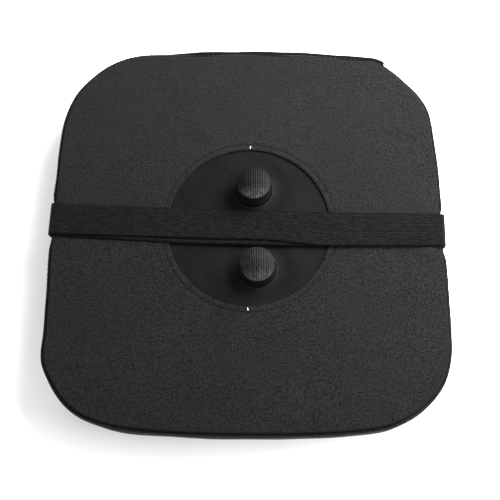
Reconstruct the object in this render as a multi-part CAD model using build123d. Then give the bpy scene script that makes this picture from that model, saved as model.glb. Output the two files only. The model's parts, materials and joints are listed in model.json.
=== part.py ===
from build123d import *
import os
from math import sqrt

# A lumbar support cushion that lies on its plain side. Two press nodes stand out of a round
# opening on the other side, and an elastic strap crosses between them.
# Millimetres. +Z points out of the node side, +Y is the cushion's top edge, and the origin
# is the middle of the plain side's flat rest.

# Outline: four shallow arcs that bow outwards, with the corners between them rounded
TOP_Y = 197.5
TOP_RADIUS = 1800.0
BOTTOM_Y = -198.5
BOTTOM_RADIUS = 1240.0
SIDE_X = 197.5
SIDE_WIDEST_Y = -40.0
SIDE_RADIUS = 2700.0
TOP_CORNER_RADIUS = 89.0
BOTTOM_CORNER_RADIUS = 82.0

# Cover
HEIGHT = 60.0
FABRIC = 1.5
CROWN_RADIUS = 900.0
CROWN_DIP = 4.0

# Round opening and the stretch inset behind it
OPENING_X = 1.8
OPENING_Y = 4.3
OPENING_RADIUS = 82.0
HEM_RADIUS = 89.0
HEM_THICKNESS = 1.2
STITCH_RADIUS = 88.0
THREAD = 0.5
THREAD_PROUD = 0.3
INSET_THICKNESS = 1.0
THREAD_END = (1.0, 3.0, 0.6)
THREAD_END_SHIFTS = {1: 1.6, -1: -1.0}

# Press nodes
NODE_PLACES = {"upper": (6.7, 43.3), "lower": (10.0, -40.0)}
NODE_TRAVEL = 8.0
CAP_RADIUS = 18.5
CAP_WALL = 1.5
CAP_TOP_RADIUS = 17.0
CAP_TOP_Z = 84.0
CAP_DOME_RADIUS = 45.0
CAP_EDGE = 1.8
CORE_EDGE = 1.2
CORE_GAP = 0.1
FLANGE_RADIUS = 24.0
FLANGE_THICKNESS = 3.0
PAD_RADIUS = 21.0
PAD_HEIGHT = 18.0
COLLAR_GAP = 0.4
COLLAR_WIDTH = 2.2
COLLAR_HEIGHT = 1.2
INSET_HOLE_GAP = 0.6

# Carrier that traps the nodes' flanges
CARRIER_RADIUS = 76.0
CARRIER_FLOOR_Z = 27.0
CARRIER_THICKNESS = 3.0
GUIDE_THICKNESS = 3.0
GUIDE_HOLE_GAP = 0.8
POCKET_GAP = 1.0
SCREW_X = 58.0
SCREW_Y = 30.0
SCREW_RADIUS = 1.7
SCREW_LENGTH = 12.0
SCREW_HEAD_RADIUS = 3.2
SCREW_HEAD_HEIGHT = 2.0
SCREW_CLEARANCE = 0.2
BOSS_RADIUS = 5.0

# Zip along the top edge
ZIP_Z = 44.0
ZIP_HALF_LENGTH = 100.0
ZIP_WINDOW = 13.0
TAPE_WIDTH = 10.0
TAPE_THICKNESS = 0.6
TAPE_CENTRE_GAP = 0.9
TAPE_OVERRUN = 4.0
COIL_INNER = 0.6
COIL_OUTER = 2.4
COIL_HEIGHT = 1.6
STOP_LENGTH = 1.6
STOP_HEIGHT = 2.4
CHANNEL_DEPTH = 6.0
FLAP_REACH = 7.5
FLAP_THICKNESS = 2.5
FLAP_TOP_Z = 57.0
FLAP_LEFT_X = -104.0
FLAP_RIGHT_X = 133.0

# Zip slider and its pull tab
SLIDER_X = 88.0
SLIDER_LENGTH = 11.0
SLIDER_HALF_WIDTH = 4.2
SLIDER_PLATE = 1.4
SLIDER_GAP = 0.5
POST_LENGTH = 4.0
POST_HALF_WIDTH = 0.3
PIN_RADIUS = 0.7
PIN_STANDOFF = 3.2
EAR_INNER = 2.2
EAR_OUTER = 3.4
EAR_LENGTH = 3.0
EYE_RADIUS = 1.25
PIN_CLEARANCE = 0.06
TAB_LENGTH = 22.0
TAB_HALF_WIDTH = 2.0
TAB_THICKNESS = 1.0

# Elastic strap: two layers, sewn down each side
STRAP_WIDTH = 31.0
STRAP_THICKNESS = 1.2
STRAP_GAP = 0.3
STRAP_LIFT = 0.4
STRAP_Y = 4.5
STRAP_TURN = -1.7
UNDER_DROP = -4.0
SPAN_HALF_LENGTH = 110.0
LEG_X = 198.4
LEG_FOOT_Z = 20.0
TACK_LENGTH = 26.0
TACK_HEIGHT = 2.0
TACK_PITCH = 5.0

# Levels worked out from the sizes above
PANEL_LOW_Z = HEIGHT - FABRIC
HEM_LOW_Z = PANEL_LOW_Z - HEM_THICKNESS
INSET_LOW_Z = HEM_LOW_Z - INSET_THICKNESS
PAD_LOW_Z = CARRIER_FLOOR_Z + CARRIER_THICKNESS
FLANGE_LOW_Z = PAD_LOW_Z + PAD_HEIGHT
GUIDE_LOW_Z = FLANGE_LOW_Z + FLANGE_THICKNESS
GUIDE_TOP_Z = GUIDE_LOW_Z + GUIDE_THICKNESS

# Centre of the top edge's arc
TOP_ARC_Y = TOP_Y - TOP_RADIUS


def outline(grow=0.0):
    """The cushion's outline as a flat face, moved outwards by grow."""
    side_centre = SIDE_X - SIDE_RADIUS
    face = Pos(0, TOP_ARC_Y) * Circle(TOP_RADIUS + grow)
    face &= Pos(0, BOTTOM_Y + BOTTOM_RADIUS) * Circle(BOTTOM_RADIUS + grow)
    face &= Pos(side_centre, SIDE_WIDEST_Y) * Circle(SIDE_RADIUS + grow)
    face &= Pos(-side_centre, SIDE_WIDEST_Y) * Circle(SIDE_RADIUS + grow)
    face = fillet(face.vertices().sort_by(Axis.Y)[-2:], TOP_CORNER_RADIUS + grow)
    return fillet(face.vertices().sort_by(Axis.Y)[:2], BOTTOM_CORNER_RADIUS + grow)


def slab(sketch, low, high):
    """A flat sketch made solid between two heights."""
    return Pos(0, 0, low) * extrude(sketch, high - low, dir=(0, 0, 1))


def disc(radius, low, high, x=OPENING_X, y=OPENING_Y):
    """An upright disc, about the opening's axis unless told otherwise."""
    return slab(Pos(x, y) * Circle(radius), low, high)


def ring(inner, outer, low, high, x=OPENING_X, y=OPENING_Y):
    """An upright ring."""
    return disc(outer, low, high, x, y) - disc(inner, low, high, x, y)


def crowned(grow, skin, top):
    """The outline's block up to top, rolled up at its top and bottom edges, skin above the floor."""
    roller = Pos(0, 0, CROWN_RADIUS - CROWN_DIP) * Rot(0, 90, 0) * Cylinder(CROWN_RADIUS - skin, 600)
    return slab(outline(grow), skin, top) & roller


def top_strip(inner, outer, low, high, left, right):
    """A strip along the top edge's arc, between two distances outwards from that edge."""
    band = Pos(0, TOP_ARC_Y) * (Circle(TOP_RADIUS + outer) - Circle(TOP_RADIUS + inner))
    window = Pos((left + right) / 2, TOP_Y) * Rectangle(right - left, 60)
    return slab(band & window, low, high)


def box_between(low, high):
    """A box from its lowest corner to its highest."""
    size = [b - a for a, b in zip(low, high)]
    middle = [(a + b) / 2 for a, b in zip(low, high)]
    return Pos(*middle) * Box(*size)


def cover_parts():
    """The sewn fabric shell: node side, side band and plain side."""
    inside = crowned(0, FABRIC, PANEL_LOW_Z)
    band = inside - slab(outline(-FABRIC), 0, HEIGHT)
    half_window = ZIP_WINDOW / 2
    window = top_strip(
        -2 * FABRIC, 2 * FABRIC, ZIP_Z - half_window, ZIP_Z + half_window, -ZIP_HALF_LENGTH, ZIP_HALF_LENGTH
    )
    return {
        "cover_node_panel": slab(outline(), PANEL_LOW_Z, HEIGHT) - disc(OPENING_RADIUS, PANEL_LOW_Z, HEIGHT),
        "cover_gusset": band - window,
        "cover_plain_panel": crowned(0, 0, PANEL_LOW_Z) - inside,
    }


def opening_parts():
    """The folded hem round the opening, its stitching, and the stretch inset with its collars."""
    inset = disc(HEM_RADIUS, INSET_LOW_Z, HEM_LOW_Z)
    backing = disc(CARRIER_RADIUS, GUIDE_TOP_Z, INSET_LOW_Z)
    parts = {}
    for name, (x, y) in NODE_PLACES.items():
        inset -= disc(CAP_RADIUS + INSET_HOLE_GAP, INSET_LOW_Z, HEM_LOW_Z, x, y)
        backing -= disc(PAD_RADIUS, GUIDE_TOP_Z, INSET_LOW_Z, x, y)
        inner = CAP_RADIUS + COLLAR_GAP
        parts[f"node_{name}_collar"] = ring(
            inner, inner + COLLAR_WIDTH, HEM_LOW_Z, HEM_LOW_Z + COLLAR_HEIGHT, x, y
        )
    for x, y in screw_places():
        backing -= disc(BOSS_RADIUS, GUIDE_TOP_Z, INSET_LOW_Z, x, y)
    half = THREAD / 2
    ends = []
    from_centre = (OPENING_RADIUS + STITCH_RADIUS) / 2
    for side, shift in THREAD_END_SHIFTS.items():
        place = Pos(OPENING_X + shift, OPENING_Y + side * from_centre, HEIGHT + THREAD_END[2] / 2)
        ends.append(place * Box(*THREAD_END))
    parts.update(
        {
            "inset_panel": inset,
            "inset_backing_pad": backing,
            "opening_hem": ring(OPENING_RADIUS, HEM_RADIUS, HEM_LOW_Z, PANEL_LOW_Z),
            "opening_topstitch": ring(STITCH_RADIUS - half, STITCH_RADIUS + half, HEIGHT, HEIGHT + THREAD_PROUD),
            "opening_thread_ends": Compound(ends),
        }
    )
    return parts


def screw_places():
    """The four screw axes of the carrier."""
    return [(OPENING_X + i * SCREW_X, OPENING_Y + j * SCREW_Y) for i in (-1, 1) for j in (-1, 1)]


def node_parts():
    """For each press node: a fabric cap, a flanged core under it, and a foam pad to push it back."""
    parts = {}
    for name, (x, y) in NODE_PLACES.items():
        cap = domed(0, GUIDE_LOW_Z + 0.2, CAP_EDGE, x, y)
        cap -= domed(CAP_WALL, GUIDE_LOW_Z - 1, CORE_EDGE, x, y)
        core = domed(CAP_WALL + CORE_GAP, FLANGE_LOW_Z, CORE_EDGE, x, y)
        core += disc(FLANGE_RADIUS, FLANGE_LOW_Z, GUIDE_LOW_Z, x, y)
        parts[f"node_{name}_cap"] = cap
        parts[f"node_{name}_core"] = core
        parts[f"node_{name}_pad"] = disc(PAD_RADIUS, PAD_LOW_Z, FLANGE_LOW_Z, x, y)
    return parts


def domed(inset, low, edge, x, y):
    """A node's shape, smaller all round by inset: straight up to the hem, then a little narrower, with a
    domed top and a rounded rim. A half section is turned about the node's axis."""
    radius = CAP_RADIUS - inset
    foot = [(0, low), (radius, low), (radius, HEM_LOW_Z)]
    head = [(CAP_TOP_RADIUS - inset, CAP_TOP_Z), (0, CAP_TOP_Z), (0, low)]
    section = make_face(Polyline(*foot, *head))
    section &= Pos(0, CAP_TOP_Z - CAP_DOME_RADIUS) * Circle(CAP_DOME_RADIUS - inset)
    outer = [corner for corner in section.vertices() if corner.X > radius / 2]
    rim = max(outer, key=lambda corner: corner.Y)
    section = fillet(rim, edge)
    return Pos(x, y) * revolve(Plane.XZ * section, Axis.Z)


def carrier_parts():
    """The moulded base and guide plate that trap the nodes' flanges, with their four screws."""
    base = disc(CARRIER_RADIUS, CARRIER_FLOOR_Z, PAD_LOW_Z)
    guide = disc(CARRIER_RADIUS, GUIDE_LOW_Z, GUIDE_TOP_Z)
    screws = []
    screw_tip_z = GUIDE_TOP_Z - SCREW_LENGTH
    for x, y in NODE_PLACES.values():
        guide -= disc(CAP_RADIUS + GUIDE_HOLE_GAP, GUIDE_LOW_Z, GUIDE_TOP_Z, x, y)
    for x, y in screw_places():
        base += disc(BOSS_RADIUS, PAD_LOW_Z, GUIDE_LOW_Z, x, y)
        base -= disc(SCREW_RADIUS, screw_tip_z, GUIDE_LOW_Z, x, y)
        guide -= disc(SCREW_RADIUS + SCREW_CLEARANCE, GUIDE_LOW_Z, GUIDE_TOP_Z, x, y)
        shank = disc(SCREW_RADIUS, screw_tip_z, GUIDE_TOP_Z, x, y)
        head = disc(SCREW_HEAD_RADIUS, GUIDE_TOP_Z, GUIDE_TOP_Z + SCREW_HEAD_HEIGHT, x, y)
        screws.append(shank + head)
    return {"carrier_base": base, "carrier_guide_plate": guide, "carrier_screws": Compound(screws)}


def foam_core():
    """The foam block, with a pocket for the carrier and a channel behind the zip."""
    core = crowned(-FABRIC, FABRIC, PANEL_LOW_Z)
    core -= disc(HEM_RADIUS + POCKET_GAP, INSET_LOW_Z, HEIGHT)
    core -= disc(CARRIER_RADIUS + POCKET_GAP, CARRIER_FLOOR_Z, HEIGHT)
    half = TAPE_WIDTH + POCKET_GAP
    reach = ZIP_HALF_LENGTH + 2 * TAPE_OVERRUN
    core -= top_strip(-CHANNEL_DEPTH, FABRIC, ZIP_Z - half, ZIP_Z + half, -reach, reach)
    return {"foam_core": core}


def zip_parts():
    """Flap, tapes, coil rows and end stops. Distances run outwards from the top edge."""
    tape_outer = -FABRIC
    tape_inner = tape_outer - TAPE_THICKNESS
    tape_end = ZIP_HALF_LENGTH + TAPE_OVERRUN
    coil_end = ZIP_HALF_LENGTH - TAPE_OVERRUN
    coil_outer = tape_outer + COIL_HEIGHT
    flap_window = Pos((FLAP_LEFT_X + FLAP_RIGHT_X) / 2, TOP_Y) * Rectangle(FLAP_RIGHT_X - FLAP_LEFT_X, 100)
    flap = (outline(FLAP_REACH) - outline()) & flap_window
    parts = {"zip_flap": slab(flap, FLAP_TOP_Z - FLAP_THICKNESS, FLAP_TOP_Z)}
    for name, side in (("front", 1), ("rear", -1)):
        tape_low, tape_high = sorted((ZIP_Z + side * TAPE_CENTRE_GAP, ZIP_Z + side * TAPE_WIDTH))
        coil_low, coil_high = sorted((ZIP_Z + side * COIL_INNER, ZIP_Z + side * COIL_OUTER))
        parts[f"zip_tape_{name}"] = top_strip(tape_inner, tape_outer, tape_low, tape_high, -tape_end, tape_end)
        parts[f"zip_coil_{name}"] = top_strip(tape_outer, coil_outer, coil_low, coil_high, -coil_end, coil_end)
    half = COIL_OUTER
    left_end = -coil_end - STOP_LENGTH
    stops = [top_strip(tape_outer, tape_outer + STOP_HEIGHT, ZIP_Z - half, ZIP_Z + half, left_end, -coil_end)]
    for low, high in ((ZIP_Z + COIL_INNER, ZIP_Z + half), (ZIP_Z - half, ZIP_Z - COIL_INNER)):
        stops.append(
            top_strip(tape_outer, tape_outer + STOP_HEIGHT, low, high, coil_end, coil_end + STOP_LENGTH)
        )
    parts["zip_stops"] = Compound([solid for stop in stops for solid in stop.solids()])
    return parts


def slider_parts():
    """The zip's slider, with a cross pin in two ears, and the pull tab on that pin."""
    edge_y = TOP_ARC_Y + sqrt(TOP_RADIUS**2 - SLIDER_X**2)
    left = SLIDER_X - SLIDER_LENGTH / 2
    right = SLIDER_X + SLIDER_LENGTH / 2
    low = ZIP_Z - SLIDER_HALF_WIDTH
    high = ZIP_Z + SLIDER_HALF_WIDTH
    outer_face = -FABRIC + COIL_HEIGHT + SLIDER_GAP
    outer_top = outer_face + SLIDER_PLATE
    inner_face = -FABRIC - TAPE_THICKNESS - SLIDER_GAP
    inner_back = inner_face - SLIDER_PLATE
    slider = top_strip(outer_face, outer_top, low, high, left, right)
    slider += top_strip(inner_back, inner_face, low, high, left, right)
    post_low = ZIP_Z - POST_HALF_WIDTH
    post_high = ZIP_Z + POST_HALF_WIDTH
    slider += top_strip(inner_back, outer_top, post_low, post_high, right - POST_LENGTH, right)
    pin_y = edge_y + PIN_STANDOFF + SLIDER_GAP
    for ear_low, ear_high in ((EAR_INNER, EAR_OUTER), (-EAR_OUTER, -EAR_INNER)):
        slider += box_between(
            (SLIDER_X - EAR_LENGTH / 2, edge_y + outer_face + SLIDER_GAP, ZIP_Z + ear_low),
            (SLIDER_X + EAR_LENGTH / 2, pin_y + EYE_RADIUS, ZIP_Z + ear_high),
        )
    slider += disc(PIN_RADIUS, ZIP_Z - EAR_OUTER, ZIP_Z + EAR_OUTER, SLIDER_X, pin_y)
    tab_low = ZIP_Z - TAB_HALF_WIDTH
    tab_high = ZIP_Z + TAB_HALF_WIDTH
    half = TAB_THICKNESS / 2
    tab = box_between((SLIDER_X, pin_y - half, tab_low), (SLIDER_X + TAB_LENGTH, pin_y + half, tab_high))
    tab += disc(EYE_RADIUS, tab_low, tab_high, SLIDER_X, pin_y)
    tab -= disc(PIN_RADIUS + PIN_CLEARANCE, tab_low, tab_high, SLIDER_X, pin_y)
    return {"zip_slider": slider, "zip_pull_tab": tab}


def strap_parts():
    """Two elastic layers: a lifting span between two ends that go over the edge and down the side."""
    turn = Pos(0, STRAP_Y, 0) * Rot(0, 0, STRAP_TURN)
    step = STRAP_THICKNESS + STRAP_GAP
    parts = {}
    for order, (layer, drop) in enumerate((("under", UNDER_DROP), ("top", 0.0))):
        low = HEIGHT + STRAP_LIFT + order * step
        high = low + STRAP_THICKNESS
        near = LEG_X + order * step
        far = near + STRAP_THICKNESS
        edge_low = drop - STRAP_WIDTH / 2
        edge_high = drop + STRAP_WIDTH / 2
        span = box_between((-SPAN_HALF_LENGTH, edge_low, low), (SPAN_HALF_LENGTH, edge_high, high))
        parts[f"strap_{layer}_span"] = turn * span
        for name, side in (("left", -1), ("right", 1)):
            flat_x = sorted((side * SPAN_HALF_LENGTH, side * far))
            leg_x = sorted((side * near, side * far))
            end = box_between((flat_x[0], edge_low, low), (flat_x[1], edge_high, high))
            end += box_between((leg_x[0], edge_low, LEG_FOOT_Z), (leg_x[1], edge_high, high))
            parts[f"strap_{layer}_{name}"] = turn * end
    outer = LEG_X + step + STRAP_THICKNESS
    for name, side in (("left", -1), ("right", 1)):
        bars = []
        for row in range(3):
            foot = LEG_FOOT_Z + 1 + row * TACK_PITCH
            x = sorted((side * outer, side * (outer + THREAD)))
            bar = box_between((x[0], -TACK_LENGTH / 2, foot), (x[1], TACK_LENGTH / 2, foot + TACK_HEIGHT))
            bars.append(turn * bar)
        parts[f"strap_tack_{name}"] = Compound(bars)
    return parts


def main():
    os.makedirs("parts", exist_ok=True)
    parts = {}
    for group in (
        cover_parts(),
        opening_parts(),
        node_parts(),
        carrier_parts(),
        foam_core(),
        zip_parts(),
        slider_parts(),
        strap_parts(),
    ):
        parts.update(group)
    for name, shape in parts.items():
        export_step(shape, f"parts/{name}.step")


main()
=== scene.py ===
import json
import math

import bmesh
import bpy
import numpy as np
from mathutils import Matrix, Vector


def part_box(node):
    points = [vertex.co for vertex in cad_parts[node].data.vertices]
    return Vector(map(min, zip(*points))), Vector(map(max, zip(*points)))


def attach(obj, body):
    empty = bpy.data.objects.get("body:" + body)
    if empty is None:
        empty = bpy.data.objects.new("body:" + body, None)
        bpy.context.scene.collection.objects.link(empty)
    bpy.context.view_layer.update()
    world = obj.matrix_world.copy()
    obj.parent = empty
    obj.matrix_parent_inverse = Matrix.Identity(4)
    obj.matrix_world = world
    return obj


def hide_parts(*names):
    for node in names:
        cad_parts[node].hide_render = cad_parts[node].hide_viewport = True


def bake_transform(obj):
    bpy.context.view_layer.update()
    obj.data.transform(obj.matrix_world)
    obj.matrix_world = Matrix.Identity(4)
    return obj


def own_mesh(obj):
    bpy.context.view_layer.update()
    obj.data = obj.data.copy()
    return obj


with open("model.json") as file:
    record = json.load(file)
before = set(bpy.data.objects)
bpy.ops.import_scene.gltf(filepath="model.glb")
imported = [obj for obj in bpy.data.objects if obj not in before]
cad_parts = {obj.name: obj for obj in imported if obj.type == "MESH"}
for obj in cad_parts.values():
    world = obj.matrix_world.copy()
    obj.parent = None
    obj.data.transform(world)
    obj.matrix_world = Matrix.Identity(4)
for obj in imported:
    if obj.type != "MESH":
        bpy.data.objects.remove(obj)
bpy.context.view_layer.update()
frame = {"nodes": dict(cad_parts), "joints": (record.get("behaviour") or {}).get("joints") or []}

# Metres. +Z points out of the node side, +Y is the cushion's top edge. The cushion lies on its
# plain side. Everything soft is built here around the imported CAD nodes.

MM = 0.001

# Camera: height and tilt that see the node side from a little below its middle
CAMERA_DISTANCE = 0.640
CAMERA_TILT = math.radians(14.5)
CAMERA_TARGET = (0.003, -0.021, 0.060)
CAMERA_LENS = 46.08
CAMERA_SENSOR = 36.0

# Places read from the frame
PANEL_LOW, PANEL_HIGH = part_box("cover_node_panel")
FACE_Z = PANEL_HIGH.z
HEM_LOW, HEM_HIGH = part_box("opening_hem")
INSET_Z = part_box("inset_panel")[1].z
INSET_TOP = INSET_Z + 0.7 * MM
STITCH_LOW, STITCH_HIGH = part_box("opening_topstitch")
OPENING = np.array(((HEM_LOW.x + HEM_HIGH.x) / 2, (HEM_LOW.y + HEM_HIGH.y) / 2))
HEM_OUTER = (HEM_HIGH.x - HEM_LOW.x) / 2
STITCH_RADIUS = (STITCH_HIGH.x - STITCH_LOW.x) / 2 - 0.25 * MM
HEM_INNER = 82 * MM
JOINTS = {joint["name"]: joint for joint in frame["joints"]}

# Cover shape. Anything farther out than NEAR_EDGE is by the cushion's edge
NEAR_EDGE = 0.15
CROWN_RADIUS = 0.900
CROWN_DIP = 0.004
EDGE_ROLL = 2.4 * MM
ROLL_Z = FACE_Z - EDGE_ROLL
EDGE_PROUD = 0.9 * MM
GROOVE_DEPTH = 0.9 * MM
SEAM_INSET = 1.3 * MM
BULGE = 4.0 * MM
LOW_SEAM_RISE = 7 * MM
PUFF_CAP_TOP = 1.6 * MM
PUFF_CAP_PLAIN = 3.0 * MM
PUFF_CAP_BAND = 1.5 * MM

# Strap
STRAP_WIDTH = 30.2 * MM
STRAP_RIBS = 16
STRAP_TURN = math.radians(-1.7)
STRAP_Y = 4.5 * MM
STRAP_CORNER = 4.0 * MM
STRAP_FOOT_X = 0.188

# Zip
ZIP_CENTRE_Y = JOINTS["zip_travel"]["pos_m"][1]
ZIP_Z = JOINTS["zip_travel"]["pos_m"][2]
WINDOW_HALF = 6.5 * MM
WINDOW_END = 103 * MM
WINDOW_DEPTH = 4.9 * MM
PIN_OUT = 3.7 * MM
SLIDER_LEAN = 0.049


# ---------------------------------------------------------------- mesh helpers


def place_in_scene(name, data):
    """A new object in the scene that holds a mesh, light or camera."""
    thing = bpy.data.objects.new(name, data)
    bpy.context.scene.collection.objects.link(thing)
    return thing


def add_mesh(name, points, faces, material, smooth=True):
    """A mesh object in the scene from points and faces."""
    mesh = bpy.data.meshes.new(name)
    mesh.from_pydata([tuple(p) for p in points], [], faces)
    mesh.update()
    if smooth:
        mesh.polygons.foreach_set("use_smooth", [True] * len(mesh.polygons))
    mesh.materials.append(material)
    return place_in_scene(name, mesh)


def full_turn(count):
    """Even angles round a circle."""
    return np.linspace(0, 2 * math.pi, count, endpoint=False)


def round_ring(centre, radius, turn, z):
    """Points of a level ring."""
    x = centre[0] + radius * np.cos(turn)
    y = centre[1] + radius * np.sin(turn)
    return np.stack((x, y, z + 0 * turn), -1)


def grid_faces(rows, cols, wrap_rows=False, wrap_cols=False):
    """Quads of a grid of points numbered row by row."""
    r = np.arange(rows if wrap_rows else rows - 1)
    c = np.arange(cols if wrap_cols else cols - 1)
    r, c = np.meshgrid(r, c, indexing="ij")
    r2 = (r + 1) % rows
    c2 = (c + 1) % cols
    quads = np.stack((r * cols + c, r * cols + c2, r2 * cols + c2, r2 * cols + c), -1)
    return quads.reshape(-1, 4).tolist()


def face_outwards(thing):
    """Turns every face of closed shells outwards."""
    shell = bmesh.new()
    shell.from_mesh(thing.data)
    bmesh.ops.recalc_face_normals(shell, faces=shell.faces)
    shell.to_mesh(thing.data)
    shell.free()


def oblong(half_length, half_width, taper=0.0, middle=0.0):
    """A rounded rectangle, wider towards its far end where taper is above 0."""
    turn = full_turn(44)
    along = np.sign(np.cos(turn)) * np.abs(np.cos(turn)) ** 0.45
    across = np.sign(np.sin(turn)) * np.abs(np.sin(turn)) ** 0.45 * (1 + taper * along)
    return np.stack((middle + half_length * along, half_width * across), -1)


def end_rings(rows, cols):
    """Faces that close a grid's first and last row."""
    return [list(range(cols)), list(range((rows - 1) * cols, rows * cols))]


def end_columns(rows, cols):
    """Faces that close a grid's first and last column."""
    first = [row * cols for row in range(rows)]
    return [first, [point + cols - 1 for point in first][::-1]]


def running_length(path):
    """How far along a path each of its points is."""
    steps = np.linalg.norm(np.diff(path, axis=0), axis=1)
    return np.concatenate(([0], np.cumsum(steps)))


def plate(outline, low, high, edge):
    """Points and faces of a flat solid with rounded edges: along, across and thickness."""
    ahead = np.roll(outline, -1, 0) - np.roll(outline, 1, 0)
    inward = np.stack((-ahead[:, 1], ahead[:, 0]), -1)
    inward /= np.linalg.norm(inward, axis=1)[:, None]
    rounding = ((1, 0.0), (0.3, 0.3), (0, 1.0))
    levels = [(share, low + part * edge) for share, part in rounding]
    levels += [(share, high - part * edge) for share, part in rounding[::-1]]
    rings = []
    for share, level in levels:
        ring = outline + inward * edge * share
        rings.append(np.column_stack((ring, np.full(len(ring), level))))
    faces = grid_faces(len(rings), len(outline), wrap_cols=True)
    return np.concatenate(rings), faces + end_rings(len(rings), len(outline))


def float_attribute(thing, name, values):
    """Stores one number per point, for the materials."""
    layer = thing.data.attributes.new(name, "FLOAT", "POINT")
    layer.data.foreach_set("value", np.asarray(values, np.float32).ravel())


def tube(path, radius, sides):
    """Points and faces of a round tube along a path, with its ends closed."""
    path = np.asarray(path, float)
    ahead = np.gradient(path, axis=0)
    ahead /= np.linalg.norm(ahead, axis=1)[:, None]
    up = np.where(np.abs(ahead[:, 2:3]) > 0.9, (1.0, 0, 0), (0, 0, 1.0))
    side = np.cross(ahead, up)
    side /= np.linalg.norm(side, axis=1)[:, None]
    top = np.cross(side, ahead)
    turn = full_turn(sides)
    radius = np.broadcast_to(radius, len(path))[:, None, None]
    ring = np.cos(turn)[None, :, None] * side[:, None] + np.sin(turn)[None, :, None] * top[:, None]
    points = (path[:, None] + radius * ring).reshape(-1, 3)
    faces = grid_faces(len(path), sides, wrap_cols=True)
    faces.append(list(range(sides))[::-1])
    faces.append(list(range((len(path) - 1) * sides, len(path) * sides)))
    return points, faces


def joined(pieces):
    """Several (points, faces) as one."""
    points, faces, first = [], [], 0
    for some_points, some_faces in pieces:
        points.append(some_points)
        faces.extend([[i + first for i in face] for face in some_faces])
        first += len(some_points)
    return np.concatenate(points), faces


def stand_in(thing, body, slot, *nodes):
    """A piece that moves with a body and replaces CAD nodes; the slot argument is not used."""
    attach(thing, body)
    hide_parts(*nodes)


def add_joined(name, pieces, material, body, slot, node):
    """Several (points, faces) as one stand-in for a CAD node."""
    thing = add_mesh(name, *joined(pieces), material)
    stand_in(thing, body, slot, node)
    return thing


def smooth_step(x, low, high):
    """0 before low, 1 after high, smooth between."""
    t = np.clip((x - low) / (high - low), 0, 1)
    return t * t * (3 - 2 * t)


def waves(x, y, seed, length):
    """A soft random field of about the given wavelength, from -1 to 1."""
    rng = np.random.default_rng(seed)
    total = np.zeros_like(x)
    count = 24
    for _ in range(count):
        heading = rng.uniform(0, 2 * math.pi)
        number = 2 * math.pi / (length * rng.uniform(0.7, 1.6))
        phase = rng.uniform(0, 2 * math.pi)
        total += np.sin(number * (x * math.cos(heading) + y * math.sin(heading)) + phase)
    return total / math.sqrt(count) / 1.6


# ---------------------------------------------------------------- materials


def new_material(name):
    """A material, its node tree and its shader."""
    material = bpy.data.materials.new(name)
    material.use_nodes = True
    tree = material.node_tree
    shader = next(n for n in tree.nodes if n.type == "BSDF_PRINCIPLED")
    return material, tree, shader


def set_levels(shader, levels):
    """Constant values on the shader's own sockets."""
    for name, level in levels.items():
        shader.inputs[name].default_value = level


def link(tree, source, target):
    """Joins an output socket to an input socket."""
    tree.links.new(source, target)


def maths(tree, operation, *values):
    """A Math node fed with sockets or numbers."""
    node = tree.nodes.new("ShaderNodeMath")
    node.operation = operation
    for socket, value in zip(node.inputs, values):
        if hasattr(value, "is_output"):
            link(tree, value, socket)
        else:
            socket.default_value = value
    return node.outputs[0]


def product(tree, value, factor):
    return maths(tree, "MULTIPLY", value, factor)


def one_minus(tree, value):
    return maths(tree, "SUBTRACT", 1.0, value)


def times_plus(tree, value, factor, extra):
    """value * factor + extra"""
    return maths(tree, "MULTIPLY_ADD", value, factor, extra)


def weighted(tree, start, *parts):
    """A start with each value added by its weight."""
    for value, weight in parts:
        start = times_plus(tree, value, weight, start)
    return start


def noise(tree, vector, scale, detail, roughness=0.5):
    """A noise texture's value in metres' coordinates."""
    node = tree.nodes.new("ShaderNodeTexNoise")
    node.inputs["Scale"].default_value = scale
    node.inputs["Detail"].default_value = detail
    node.inputs["Roughness"].default_value = roughness
    link(tree, vector, node.inputs["Vector"])
    return node.outputs["Fac"]


def split(tree, vector):
    """The x, y and z of a vector."""
    node = tree.nodes.new("ShaderNodeSeparateXYZ")
    link(tree, vector, node.inputs[0])
    return node.outputs


def object_place(tree):
    return tree.nodes.new("ShaderNodeTexCoord").outputs["Object"]


def attribute(tree, name):
    node = tree.nodes.new("ShaderNodeAttribute")
    node.attribute_name = name
    return node.outputs["Fac"]


def colour_between(tree, factor, dark, light):
    """A colour from dark to light by factor."""
    node = tree.nodes.new("ShaderNodeMix")
    node.data_type = "RGBA"
    link(tree, factor, node.inputs["Factor"])
    node.inputs["A"].default_value = (*dark, 1)
    node.inputs["B"].default_value = (*light, 1)
    return node.outputs["Result"]


def paint(tree, shader, tone, dark, light):
    """The shader's base colour, from dark to light by tone."""
    link(tree, colour_between(tree, tone, dark, light), shader.inputs["Base Color"])


def dashes_along(tree, place, scale):
    """Noise drawn out in to dashes by unequal scales along x, y and z."""
    stretch = tree.nodes.new("ShaderNodeMapping")
    stretch.inputs["Scale"].default_value = scale
    link(tree, place, stretch.inputs["Vector"])
    return noise(tree, stretch.outputs[0], 1.0, 2, 0.6)


def bumped(tree, shader, height, distance, strength):
    """Feeds a height in to the shader's normal."""
    node = tree.nodes.new("ShaderNodeBump")
    node.inputs["Distance"].default_value = distance
    node.inputs["Strength"].default_value = strength
    link(tree, height, node.inputs["Height"])
    link(tree, node.outputs["Normal"], shader.inputs["Normal"])


def sine(tree, value, pitch, phase=0.0):
    """A wave from 0 to 1 with the given pitch in metres."""
    turned = times_plus(tree, value, 2 * math.pi / pitch, phase)
    return times_plus(tree, maths(tree, "SINE", turned), 0.5, 0.5)


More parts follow.
